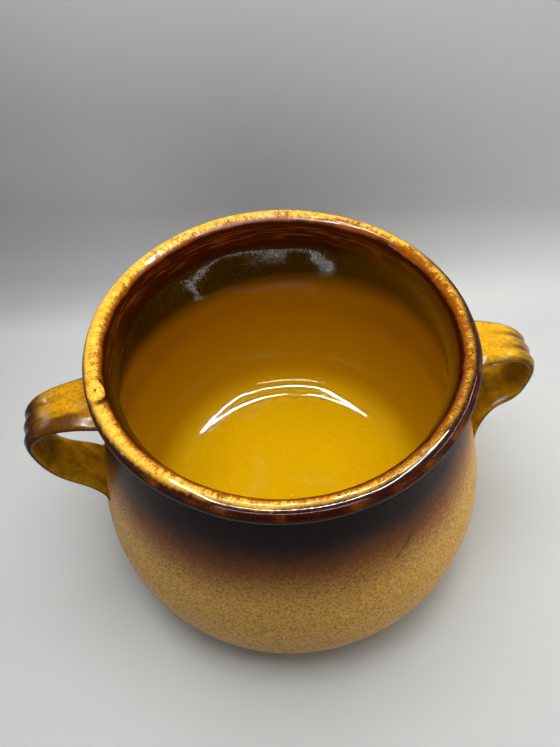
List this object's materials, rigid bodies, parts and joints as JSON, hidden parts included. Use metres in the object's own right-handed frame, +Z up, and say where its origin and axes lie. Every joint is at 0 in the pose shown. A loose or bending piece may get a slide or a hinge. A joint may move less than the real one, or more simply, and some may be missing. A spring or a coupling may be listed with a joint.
{
  "type": "glazed terracotta pot",
  "caption": "Round-bellied glazed terracotta pot with a rolled rim, a wide open mouth and a ribbed strap handle on each side.",
  "frame": {"origin": "on the ground under the axis of the pot", "axes": "+Z up along the axis, +X through the right handle, +Y away from the front, towards which both handles are turned by 5 degrees"},
  "size_m": [0.2318, 0.202, 0.1555],
  "materials": {
    "glaze": "glossy amber glaze inside and on the rim, satin tan body that fades to a dark brown band under the rim"
  },
  "bodies": {
    "root": {"pot": "glaze"}
  },
  "joints": []
}
